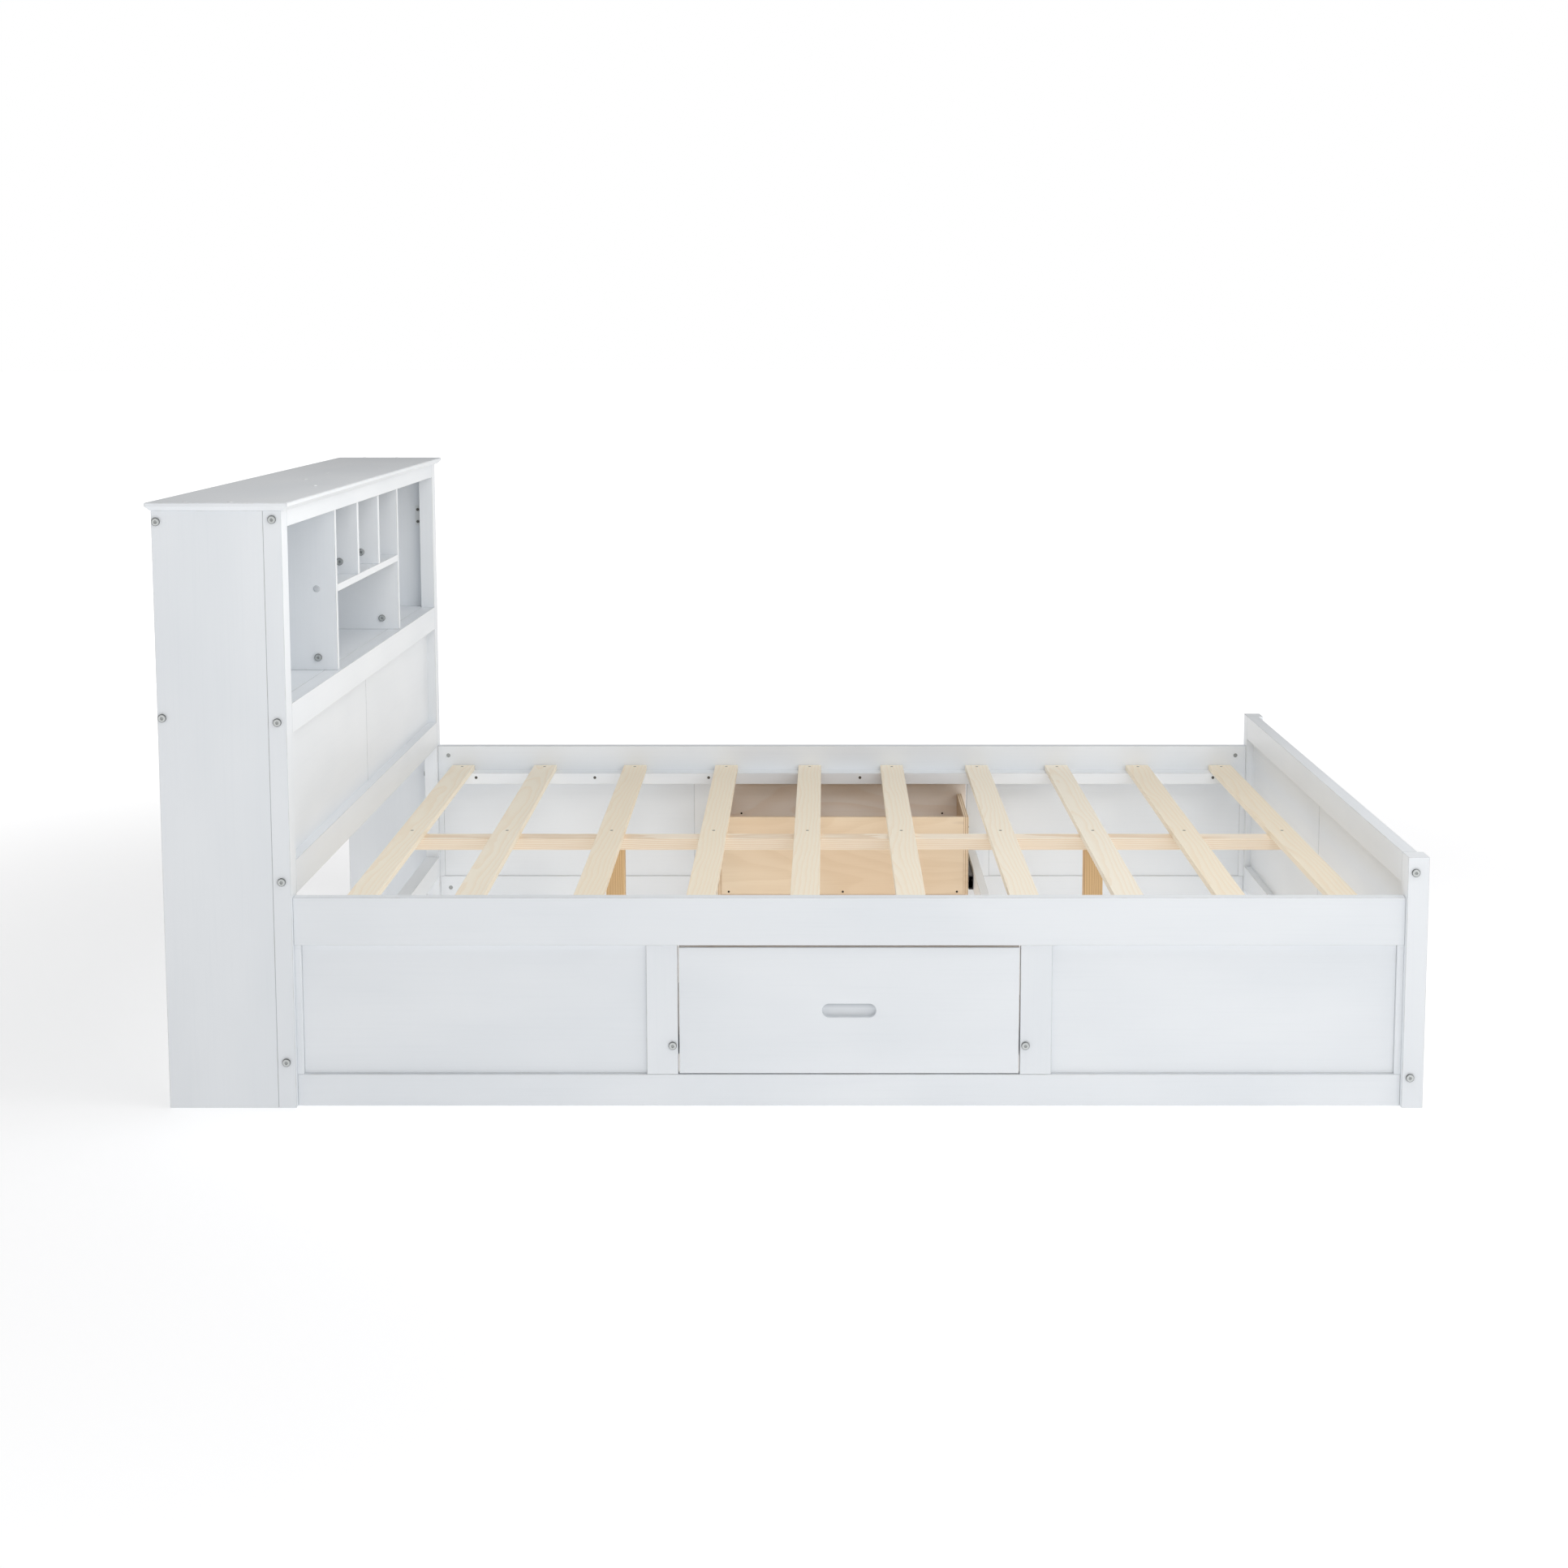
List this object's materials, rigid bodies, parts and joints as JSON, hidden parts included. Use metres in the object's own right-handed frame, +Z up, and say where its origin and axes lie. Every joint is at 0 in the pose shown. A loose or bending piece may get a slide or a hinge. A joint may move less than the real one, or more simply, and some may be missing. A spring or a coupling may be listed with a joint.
{
  "type": "platform bed with storage drawers",
  "caption": "Painted platform bed with an open bookcase headboard, a low footboard, a slatted base and a pull-out storage drawer in each long side.",
  "frame": {"origin": "on the floor, under the middle of the whole bed", "axes": "+X from the headboard to the footboard, +Y from the left long side to the right one, +Z up"},
  "size_m": [2.326, 1.628, 1.122],
  "materials": {
    "white_paint": "satin white paint on wood and board",
    "slat_wood": "planed pale wood, unpainted",
    "beam_wood": "planed pine, unpainted",
    "pine": "planed pine with a strong grain, unpainted",
    "plywood": "sanded plywood, clear sealed",
    "zinc_steel": "zinc-plated steel",
    "slide_steel": "dark zinc-plated rolled steel"
  },
  "bodies": {
    "bed_frame": {"barrel_nuts": "zinc_steel", "base_rail_left": "white_paint", "base_rail_right": "white_paint", "bed_slats": "slat_wood", "bookcase_back": "white_paint", "bookcase_back_shelf_rail": "white_paint", "bookcase_back_top_rail": "white_paint", "bookcase_divider_left": "white_paint", "bookcase_divider_right": "white_paint", "bookcase_shelf": "white_paint", "center_beam": "beam_wood", "center_legs": "pine", "corner_braces": "zinc_steel", "cross_rail_foot": "white_paint", "cross_rail_head": "white_paint", "cubby_dividers": "white_paint", "cubby_shelf": "white_paint", "footboard_bottom_rail": "white_paint", "footboard_panel_left": "white_paint", "footboard_panel_right": "white_paint", "footboard_post_left": "white_paint", "footboard_post_right": "white_paint", "footboard_top_rail": "white_paint", "frame_bolts": "zinc_steel", "headboard_cap": "white_paint", "headboard_lower_rail": "white_paint", "headboard_panel_left": "white_paint", "headboard_panel_right": "white_paint", "headboard_post_left": "white_paint", "headboard_post_right": "white_paint", "headboard_shelf_rail": "white_paint", "headboard_side_left": "white_paint", "headboard_side_right": "white_paint", "headboard_stretcher": "white_paint", "headboard_top_rail": "white_paint", "panel_end_strips": "white_paint", "side_panel_foot_left": "white_paint", "side_panel_foot_right": "white_paint", "side_panel_head_left": "white_paint", "side_panel_head_right": "white_paint", "side_rail_left": "white_paint", "side_rail_right": "white_paint", "slat_ledger_left": "white_paint", "slat_ledger_right": "white_paint", "slide_channels": "slide_steel", "stile_foot_left": "white_paint", "stile_foot_right": "white_paint", "stile_head_left": "white_paint", "stile_head_right": "white_paint", "wood_screws": "zinc_steel"},
    "drawer_left": {"drawer_left_back": "plywood", "drawer_left_bottom": "plywood", "drawer_left_front": "white_paint", "drawer_left_runners": "slide_steel", "drawer_left_sides": "plywood"},
    "drawer_right": {"drawer_right_back": "plywood", "drawer_right_bottom": "plywood", "drawer_right_front": "white_paint", "drawer_right_runners": "slide_steel", "drawer_right_sides": "plywood"}
  },
  "joints": [
    {"name": "drawer_left_slide", "type": "slide", "parent": "bed_frame", "child": "drawer_left", "axis": [0, -1, 0], "range_m": [0, 0.22]},
    {"name": "drawer_right_slide", "type": "slide", "parent": "bed_frame", "child": "drawer_right", "axis": [0, 1, 0], "range_m": [0, 0.22]}
  ]
}
